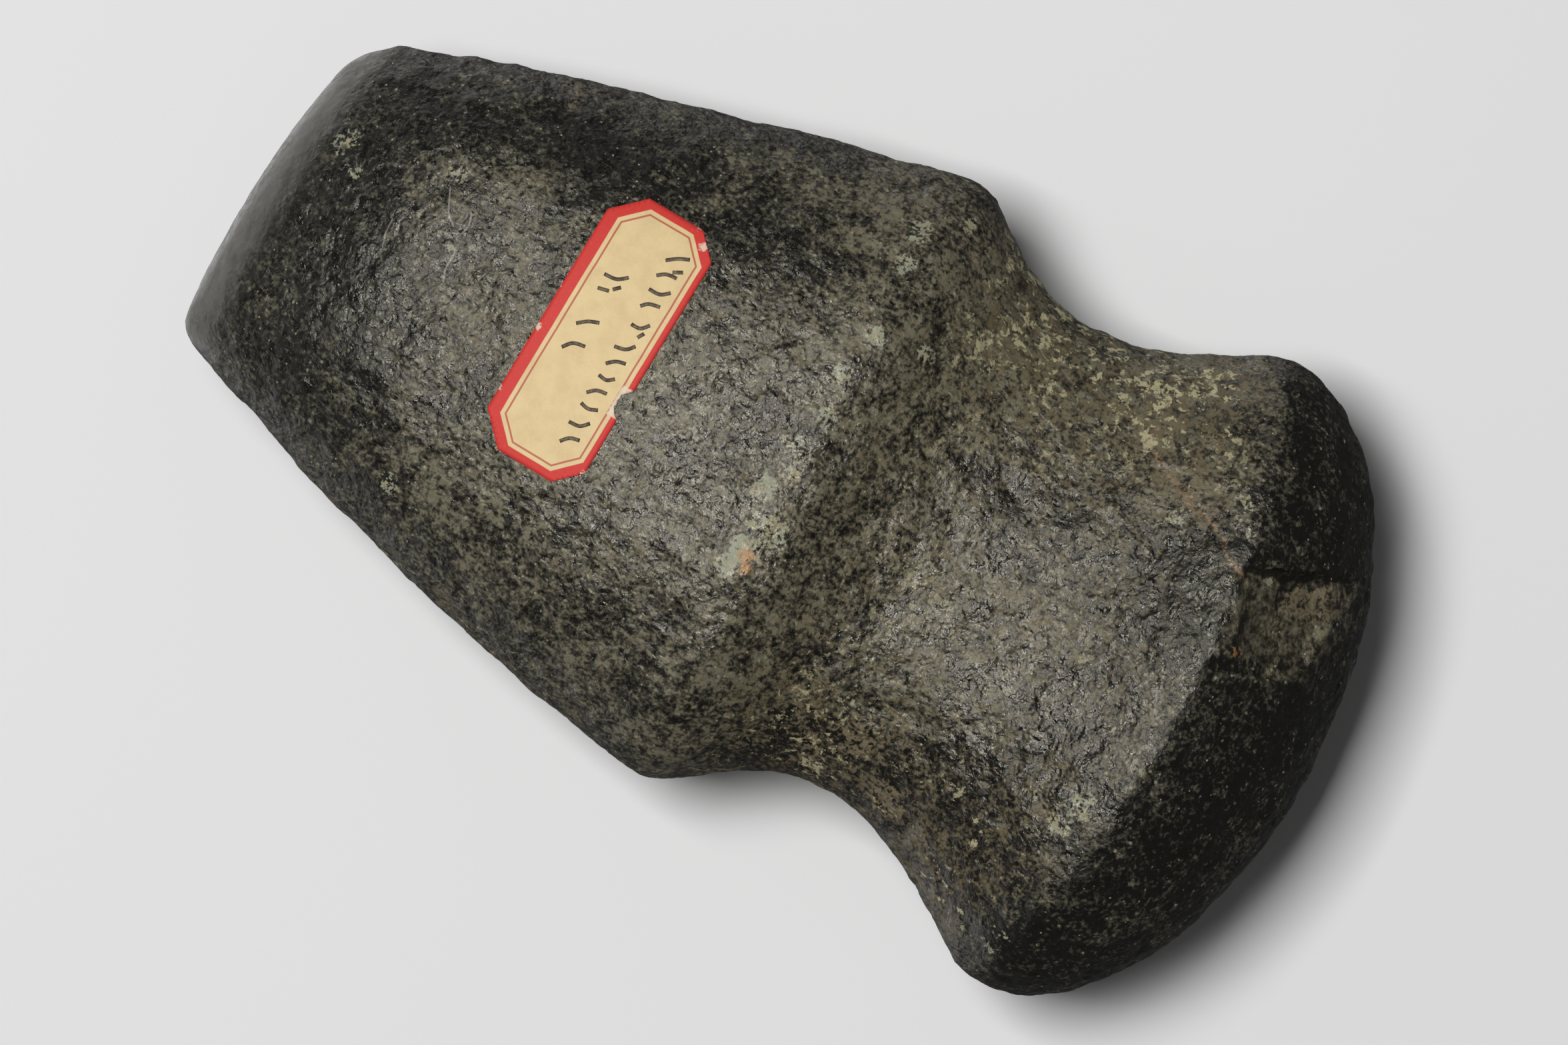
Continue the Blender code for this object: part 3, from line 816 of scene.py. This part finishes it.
def mark_features(mesh):
    """Writes where the stone is polished, pecked, soiled, chipped or stained, and its tone with its painted shade and
    highlight, for the relief and the finish.
    """
    points = vectors(mesh.vertices, "co") / MM
    facing = vectors(mesh.vertex_normals, "vector")
    x, y, _ = points.T
    upper = eased(facing[:, 2], 0.0, 0.25)
    rim = RIM_MM + RIM_BULGE_MM * (1.0 - ((y - RIM_APEX_Y_MM) / RIM_HALF_WIDTH_MM) ** 2)
    polish = 1.0 - eased(x, NOSE_END_MM, NOSE_START_MM)
    in_groove = band(x, SHOULDER_MM + 1.0, SHOULDER_MM + 12.0, rim - 9.0, rim - 1.0)
    store(mesh, "polish", polish)
    mark_tone_and_painted_shade(mesh, points, facing, rim, in_groove)
    mark_scar(mesh, points, upper)
    mark_thin_lines(mesh, points, facing, upper)
    for name, listed, soft in (
        ("mineral", MINERAL_SPOTS_MM, 0.6),
        ("rust_stain", RUST_SPOTS_MM, 0.3),
        ("tan_stain", TAN_SPOTS_MM, 0.3),
        ("gloss", GLOSSY_SPOTS_MM, 0.2),
    ):
        store(mesh, name, spots(points, listed, soft) * upper)
    mark_relief(mesh, points, upper, polish, in_groove, rim)


# Noise seldom passes this, so the relief presses in and hardly stands out
NOISE_TOP = 0.62

# How far one step of the seed moves every layout
SEED_STEP = 0.37


def relief_tree(values):
    """Geometry nodes that press swells, dents, pecks, flakes, arcs and cracks into the stone along its normals."""
    tree, given = new_tree("pecked relief", values)
    place = add(tree, "GeometryNodeInputPosition").outputs[0]
    facing = add(tree, "GeometryNodeInputNormal").outputs[0]

    def field(name):
        made = add(tree, "GeometryNodeInputNamedAttribute", {"Name": name}, data_type="FLOAT")
        return made.outputs["Attribute"]

    def pattern(offset, size):
        """Where a pattern is read, moved by the seed, and its scale."""
        step = maths(tree, "MULTIPLY_ADD", given["Seed"], SEED_STEP, offset)
        apart = add(tree, "ShaderNodeCombineXYZ", {"X": step, "Y": step, "Z": step}).outputs[0]
        moved = add(tree, "ShaderNodeVectorMath", {0: place, 1: apart}, operation="ADD").outputs[0]
        return {"Vector": moved, "Scale": maths(tree, "DIVIDE", 1.0, size)}

    def waves(offset, size, depth, detail):
        inputs = {**pattern(offset, size), "Detail": detail, "Roughness": 0.55}
        noise = add(tree, "ShaderNodeTexNoise", inputs).outputs[0]
        return product(tree, maths(tree, "SUBTRACT", noise, NOISE_TOP), product(tree, depth, 2.0))

    def patches(offset, size):
        made = add(tree, "ShaderNodeTexVoronoi", pattern(offset, size))
        own = add(tree, "FunctionNodeSeparateColor", {"Color": made.outputs["Color"]}).outputs
        return made.outputs["Distance"], own

    swell = waves(0.10, given["Swell Size"], given["Swell Depth"], 1.0)
    dents = waves(0.55, given["Dent Size"], given["Dent Depth"], 3.0)
    away, own = patches(0.90, given["Peck Size"])
    bowl = product(tree, ranged(tree, away, 0.10, 0.52, -1.0, 0.0), ranged(tree, own["Red"], 0.25, 0.60))
    pecks = product(tree, bowl, given["Peck Depth"], field("pecks"))
    away, own = patches(0.25, given["Flake Size"])
    tread = maths(tree, "MULTIPLY_ADD", away, 0.7, own["Green"])
    flakes = product(tree, tread, given["Flake Depth"], field("flakes"))
    ripples = maths(tree, "COSINE", product(tree, field("ripple"), ARC_TURN))
    ripples = product(tree, ripples, given["Flake Depth"], field("arcs"))
    marks = maths(tree, "ADD", maths(tree, "SUBTRACT", pecks, flakes), ripples)
    marks = maths(tree, "SUBTRACT", marks, product(tree, given["Crack Depth"], field("opened")))
    height = maths(tree, "MULTIPLY_ADD", maths(tree, "ADD", swell, dents), field("relief"), marks)
    moved = add(tree, "ShaderNodeVectorMath", {0: facing, "Scale": height}, operation="SCALE").outputs[0]
    pressed = add(tree, "GeometryNodeSetPosition", {"Geometry": given["Geometry"], "Offset": moved})
    return end_tree(tree, pressed.outputs[0], given["Finish"])


def press_relief(stone, settings, finish):
    values = {f"{mark} Size": getattr(settings, f"{mark.lower()}_size") for mark in ("Swell", "Dent", "Peck", "Flake")}
    for mark in ("Swell", "Dent", "Peck", "Flake", "Crack"):
        values[f"{mark} Depth"] = getattr(settings, f"{mark.lower()}_depth")
    values.update({"Seed": settings.seed, "Finish": finish})
    mesh = run_tree(stone, relief_tree(values), values).data
    points = vectors(mesh.vertices, "co")
    points[:, 2] = np.maximum(points[:, 2], 0.0)
    mesh.vertices.foreach_set("co", points.astype(np.float32).ravel())
    mesh.update()
    mesh.shade_smooth()


class AXE_OT_stone(bpy.types.Operator):
    """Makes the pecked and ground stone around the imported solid"""

    bl_idname = "axe.stone"
    bl_label = "Make the stone"

    def execute(self, context):
        settings = context.scene.axe_stone
        stone = smooth_copy(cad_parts[STONE_NODE], "pecked_stone")
        rounding = stone.modifiers.new("rounding", "SUBSURF")
        rounding.levels = rounding.render_levels = 2
        even = stone.modifiers.new("even cells", "REMESH")
        even.mode = "VOXEL"
        even.voxel_size = settings.cell
        even.use_smooth_shade = True
        applied(stone)
        mark_features(stone.data)
        press_relief(stone, settings, stone_finish(settings))
        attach(stone, BODY)
        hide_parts(STONE_NODE)
        return {"FINISHED"}


# Paper label


# Tints of the paper, the print and the ink, beside those in the settings
FOXED_PAPER = (0.62, 0.45, 0.22, 1.0)
PALE_FIBRE = (0.85, 0.72, 0.48, 1.0)
FADED_RED = (0.80, 0.16, 0.09, 1.0)
RUBBED_PAPER = (0.78, 0.66, 0.50, 1.0)
THIN_INK = (0.19, 0.14, 0.085, 1.0)


def label_outline():
    """The label's edge in its own plane, with the torn stretch nibbled by the tear."""
    half_length, half_width = LABEL_LENGTH_MM / 2.0, LABEL_WIDTH_MM / 2.0
    start, end, depth = TEAR_MM
    poll, bit = LABEL_POLL_SIDE_CUT_MM, LABEL_BIT_SIDE_CUT_MM
    torn = [
        (start + (end - start) * (i + 0.5) / len(TEAR_SHARES), -half_width + depth * share)
        for i, share in enumerate(TEAR_SHARES)
    ]
    return [
        (-half_length, -half_width + poll),
        (-half_length + poll, -half_width),
        (start, -half_width),
        *torn,
        (end, -half_width),
        (half_length - poll, -half_width),
        (half_length, -half_width + poll),
        (half_length, half_width - bit),
        (half_length - bit, half_width),
        (-half_length + bit, half_width),
        (-half_length, half_width - bit),
    ]


def label_finish(settings):
    """Aged paper with an off-centre printed border, a thin inner line and worn, torn edges."""
    material, tree, shader = new_material("aged label paper")
    uv = add(tree, "ShaderNodeUVMap", uv_map="label").outputs[0]
    split = add(tree, "ShaderNodeSeparateXYZ", {"Vector": uv})
    away = maths(tree, "ABSOLUTE", split.outputs["X"])
    aside = maths(tree, "ABSOLUTE", maths(tree, "ADD", split.outputs["Y"], PRINT_SHIFT_MM))
    inside_ends = maths(tree, "SUBTRACT", LABEL_LENGTH_MM / 2.0 + PRINT_LONGER_MM, away)
    inside_sides = maths(tree, "SUBTRACT", LABEL_WIDTH_MM / 2.0, aside)
    corner = (LABEL_LENGTH_MM + LABEL_WIDTH_MM) / 2.0 - PRINT_CORNER_CUT_MM
    inside_corner = maths(tree, "SUBTRACT", corner, maths(tree, "ADD", away, aside))
    inside_corner = product(tree, inside_corner, math.sqrt(0.5))
    depth = maths(tree, "MINIMUM", maths(tree, "MINIMUM", inside_ends, inside_sides), inside_corner)
    depth = swayed(tree, depth, clouds(tree, uv, 6.0, 2.0), 0.16)

    mottle = clouds(tree, uv, 3.2, 5.0, 0.6)
    fibre = clouds(tree, uv, 0.35, 4.0, 0.7)
    aged = mixed(tree, ranged(tree, mottle, 0.35, 0.70, 0.0, 0.55), rgba(settings.paper), FOXED_PAPER)
    aged = mixed(tree, ranged(tree, fibre, 0.45, 0.75, 0.0, 0.25), aged, PALE_FIBRE)
    inked = clouds(tree, uv, 0.5, 4.0, 0.7)
    red = mixed(tree, ranged(tree, inked, 0.50, 0.85, 0.0, 0.35), rgba(settings.border), FADED_RED)
    colour = mixed(tree, ranged(tree, depth, BORDER_MM - 0.04, BORDER_MM + 0.04), red, aged)
    line = maths(tree, "ABSOLUTE", maths(tree, "SUBTRACT", depth, FINE_LINE_MM))
    colour = mixed(tree, ranged(tree, line, 0.17, 0.08, 0.0, 0.85), colour, rgba(settings.line))
    worn = swayed(tree, attribute(tree, "worn"), inked, 1.1)
    colour = mixed(tree, ranged(tree, worn, 0.70, 0.90, 0.0, 0.8), colour, RUBBED_PAPER)
    link(tree, colour, shader.inputs["Base Color"])
    shader.inputs["Roughness"].default_value = 0.68
    bump = add(tree, "ShaderNodeBump", {"Strength": 0.35, "Distance": 0.00004, "Height": fibre})
    link(tree, bump.outputs["Normal"], shader.inputs["Normal"])
    return material


def surface_under(obj):
    return BVHTree.FromObject(obj, bpy.context.evaluated_depsgraph_get())


def laid_height(surface, x, y, reach=0.0007):
    """Height of the stone under (x, y), bridging the finest grain as paper does."""
    heights = []
    for dx, dy in ((0, 0), (1, 0), (-1, 0), (0, 1), (0, -1)):
        above = Vector((x + dx * reach, y + dy * reach, 0.2))
        point = surface.ray_cast(above, Vector((0.0, 0.0, -1.0)))[0]
        if point is None:
            raise ValueError("the label hangs over the stone's edge")
        heights.append(point.z)
    return sum(heights) / len(heights)


def place_on_stone(bm, surface, lift):
    """Turns a mesh in the label's plane, in millimetres, into its place on the stone."""
    middle = Vector((LABEL_MIDDLE_MM[0] * MM, LABEL_MIDDLE_MM[1] * MM, 0.0))
    turn = Matrix.Translation(middle) @ Matrix.Rotation(LABEL_HEADING, 4, "Z") @ Matrix.Scale(MM, 4)
    bmesh.ops.transform(bm, matrix=turn, verts=bm.verts)
    for vert in bm.verts:
        vert.co.z = laid_height(surface, vert.co.x, vert.co.y) + lift
    if sum(face.normal.z for face in bm.faces) < 0.0:
        bmesh.ops.reverse_faces(bm, faces=bm.faces)


def make_label(settings, stone):
    bm = bmesh.new()
    bm.faces.new([bm.verts.new((x, y, 0.0)) for x, y in label_outline()])
    for axis, size in ((0, LABEL_LENGTH_MM), (1, LABEL_WIDTH_MM)):
        normal = Vector((1.0 - axis, float(axis), 0.0))
        count = math.ceil(size / LABEL_CELL_MM)
        for i in range(1, count):
            everything = list(bm.verts) + list(bm.edges) + list(bm.faces)
            place = normal * (size * i / count - size / 2.0)
            bmesh.ops.bisect_plane(bm, geom=everything, plane_co=place, plane_no=normal)
    layer = bm.loops.layers.uv.new("label")
    for face in bm.faces:
        for loop in face.loops:
            loop[layer].uv = loop.vert.co.xy
    plane = np.array([vert.co[:] for vert in bm.verts])
    place_on_stone(bm, surface_under(stone), settings.lift)
    mesh = bpy.data.meshes.new("label_paper")
    bm.to_mesh(mesh)
    bm.free()
    start, end, depth = TEAR_MM
    torn_to = depth - LABEL_WIDTH_MM / 2.0
    torn = band(plane[:, 0], start - 0.4, start + 0.3, end - 0.3, end + 0.4)
    torn *= 1.0 - eased(plane[:, 1], torn_to + 0.3, torn_to + 0.9)
    store(mesh, "worn", np.maximum(torn, spots(plane, WORN_SPOTS_MM, 0.3)))
    mesh.shade_smooth()
    label = in_scene("label_paper", mesh)
    mesh.materials.append(label_finish(settings))
    paper = label.modifiers.new("paper", "SOLIDIFY")
    paper.thickness = settings.thickness
    paper.offset = -1.0
    return applied(label)


class AXE_OT_label(bpy.types.Operator):
    """Lays the paper label on the stone"""

    bl_idname = "axe.label"
    bl_label = "Lay the label"

    def execute(self, context):
        label = make_label(context.scene.axe_label, bpy.data.objects["pecked_stone"])
        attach(label, BODY)
        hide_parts(LABEL_NODE)
        return {"FINISHED"}


# Pen strokes


def stroke_tree(values):
    """Geometry nodes that turn pen paths into flat ribbons."""
    tree, given = new_tree("pen ribbons", values)
    path = add(tree, "GeometryNodeMeshToCurve", {"Mesh": given["Geometry"]}).outputs[0]
    path = add(tree, "GeometryNodeCurveSplineType", {"Curve": path}, spline_type="CATMULL_ROM").outputs[0]
    spaced = {"Curve": path, "Length": given["Point Spacing"]}
    path = add(tree, "GeometryNodeResampleCurve", spaced, mode="LENGTH").outputs[0]
    start, end = (
        add(tree, "ShaderNodeCombineXYZ", {"X": product(tree, given["Pen Width"], half)}).outputs[0]
        for half in (-0.5, 0.5)
    )
    nib = add(tree, "GeometryNodeCurvePrimitiveLine", {"Start": start, "End": end}).outputs[0]
    ribbon = add(tree, "GeometryNodeCurveToMesh", {"Curve": path, "Profile Curve": nib})
    return end_tree(tree, ribbon.outputs[0], given["Finish"])


def ink_finish(settings):
    """Brown ink, thin in places."""
    material, tree, shader = new_material("faded ink")
    place = add(tree, "ShaderNodeTexCoord").outputs["Object"]
    pooled = clouds(tree, place, 0.0006, 3.0, 0.6)
    colour = mixed(tree, ranged(tree, pooled, 0.35, 0.70), rgba(settings.ink), THIN_INK)
    link(tree, colour, shader.inputs["Base Color"])
    shader.inputs["Roughness"].default_value = 0.6
    return material


def make_strokes(settings, label):
    bm = bmesh.new()
    for stroke in STROKES_MM:
        verts = [bm.verts.new((x, y, 0.0)) for x, y in stroke]
        for first, second in zip(verts, verts[1:]):
            bm.edges.new((first, second))
    mesh = bpy.data.meshes.new("pen_strokes")
    bm.to_mesh(mesh)
    bm.free()
    values = {
        "Pen Width": settings.stroke_width / MM,
        "Point Spacing": PEN_POINT_SPACING_MM,
        "Finish": ink_finish(settings),
    }
    strokes = run_tree(in_scene("pen_strokes", mesh), stroke_tree(values), values)
    bm = bmesh.new()
    bm.from_mesh(strokes.data)
    place_on_stone(bm, surface_under(label), INK_LIFT)
    bm.to_mesh(strokes.data)
    bm.free()
    film = strokes.modifiers.new("film of ink", "SOLIDIFY")
    film.thickness = INK_THICKNESS
    film.offset = -1.0
    return applied(strokes)


class AXE_OT_strokes(bpy.types.Operator):
    """Draws the plain pen strokes on the label"""

    bl_idname = "axe.strokes"
    bl_label = "Draw the pen strokes"

    def execute(self, context):
        strokes = make_strokes(context.scene.axe_label, bpy.data.objects["label_paper"])
        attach(strokes, BODY)
        return {"FINISHED"}


# Stage


def make_floor(settings):
    bpy.ops.mesh.primitive_plane_add(size=FLOOR_SIDE, location=(0.0, 0.0, 0.0))
    floor = bpy.context.active_object
    floor.name = "studio_floor"
    material, _, shader = new_material("pale studio floor")
    shader.inputs["Base Color"].default_value = rgba(settings.floor)
    shader.inputs["Roughness"].default_value = 0.9
    shader.inputs["Specular IOR Level"].default_value = 0.1
    floor.data.materials.append(material)
    floor.visible_glossy = False


def make_lights(settings):
    """A soft overhead light that the camera doesn't see, and a dim room with a low glow on the bit side."""
    data = bpy.data.lights.new("overhead_softbox", "AREA")
    data.size = settings.key_size
    data.energy = settings.key_power
    light = in_scene("overhead_softbox", data)
    light.location = LIGHT_PLACE
    light.rotation_euler = (Vector(LIGHT_AIM) - light.location).to_track_quat("-Z", "Y").to_euler()
    light.visible_camera = False

    world = bpy.data.worlds.new("studio room")
    world.use_nodes = True
    tree = world.node_tree
    background = tree.nodes["Background"]
    background.inputs["Color"].default_value = (1.0, 1.0, 1.0, 1.0)
    look = add(tree, "ShaderNodeSeparateXYZ", {"Vector": add(tree, "ShaderNodeTexCoord").outputs["Generated"]})
    low = ranged(tree, look.outputs["Z"], 0.02, -0.25)
    bit_side = ranged(tree, look.outputs["X"], -0.10, -0.55)
    glow = product(tree, low, bit_side, settings.low_glow)
    link(tree, maths(tree, "ADD", glow, settings.sky), background.inputs["Strength"])
    bpy.context.scene.world = world


def make_camera(settings):
    data = bpy.data.cameras.new("photo camera")
    data.sensor_fit = "HORIZONTAL"
    data.sensor_width = SENSOR_WIDTH
    data.lens = SENSOR_WIDTH * settings.camera_height / settings.view_width
    data.clip_end = 50.0
    camera = in_scene("photo_camera", data)
    camera.location = (CAMERA_X, CAMERA_Y, STONE_MIDDLE_HEIGHT + settings.camera_height)
    camera.rotation_euler = (0.0, 0.0, CAMERA_TURN)
    bpy.context.scene.camera = camera


class AXE_OT_stage(bpy.types.Operator):
    """Sets the pale floor, the soft overhead light and the camera above the stone"""

    bl_idname = "axe.stage"
    bl_label = "Set the studio"

    def execute(self, context):
        settings = context.scene.axe_studio
        make_floor(settings)
        make_lights(settings)
        make_camera(settings)
        context.scene.view_settings.view_transform = "Standard"
        context.scene.view_settings.look = "None"
        return {"FINISHED"}


class AXE_PT_panel(bpy.types.Panel):
    """Lists the axe head's pieces and their settings"""

    bl_idname = "AXE_PT_panel"
    bl_label = "Grooved axe head"
    bl_space_type = "VIEW_3D"
    bl_region_type = "UI"
    bl_category = "Axe head"

    def draw(self, context):
        layout = self.layout
        for kind in (AXE_OT_stage, AXE_OT_stone, AXE_OT_label, AXE_OT_strokes):
            layout.operator(kind.bl_idname)
        for settings in (context.scene.axe_stone, context.scene.axe_label, context.scene.axe_studio):
            box = layout.box()
            for name in settings.bl_rna.properties.keys():
                if name not in ("rna_type", "name"):
                    box.prop(settings, name)


CLASSES = (
    StoneSettings,
    LabelSettings,
    StudioSettings,
    AXE_OT_stage,
    AXE_OT_stone,
    AXE_OT_label,
    AXE_OT_strokes,
    AXE_PT_panel,
)


def register():
    for kind in CLASSES:
        bpy.utils.register_class(kind)
    bpy.types.Scene.axe_stone = PointerProperty(type=StoneSettings)
    bpy.types.Scene.axe_label = PointerProperty(type=LabelSettings)
    bpy.types.Scene.axe_studio = PointerProperty(type=StudioSettings)


def unregister():
    del bpy.types.Scene.axe_studio
    del bpy.types.Scene.axe_label
    del bpy.types.Scene.axe_stone
    for kind in reversed(CLASSES):
        bpy.utils.unregister_class(kind)


def main():
    register()
    bpy.ops.axe.stage()
    bpy.ops.axe.stone()
    bpy.ops.axe.label()
    bpy.ops.axe.strokes()


if __name__ == "__main__":
    main()
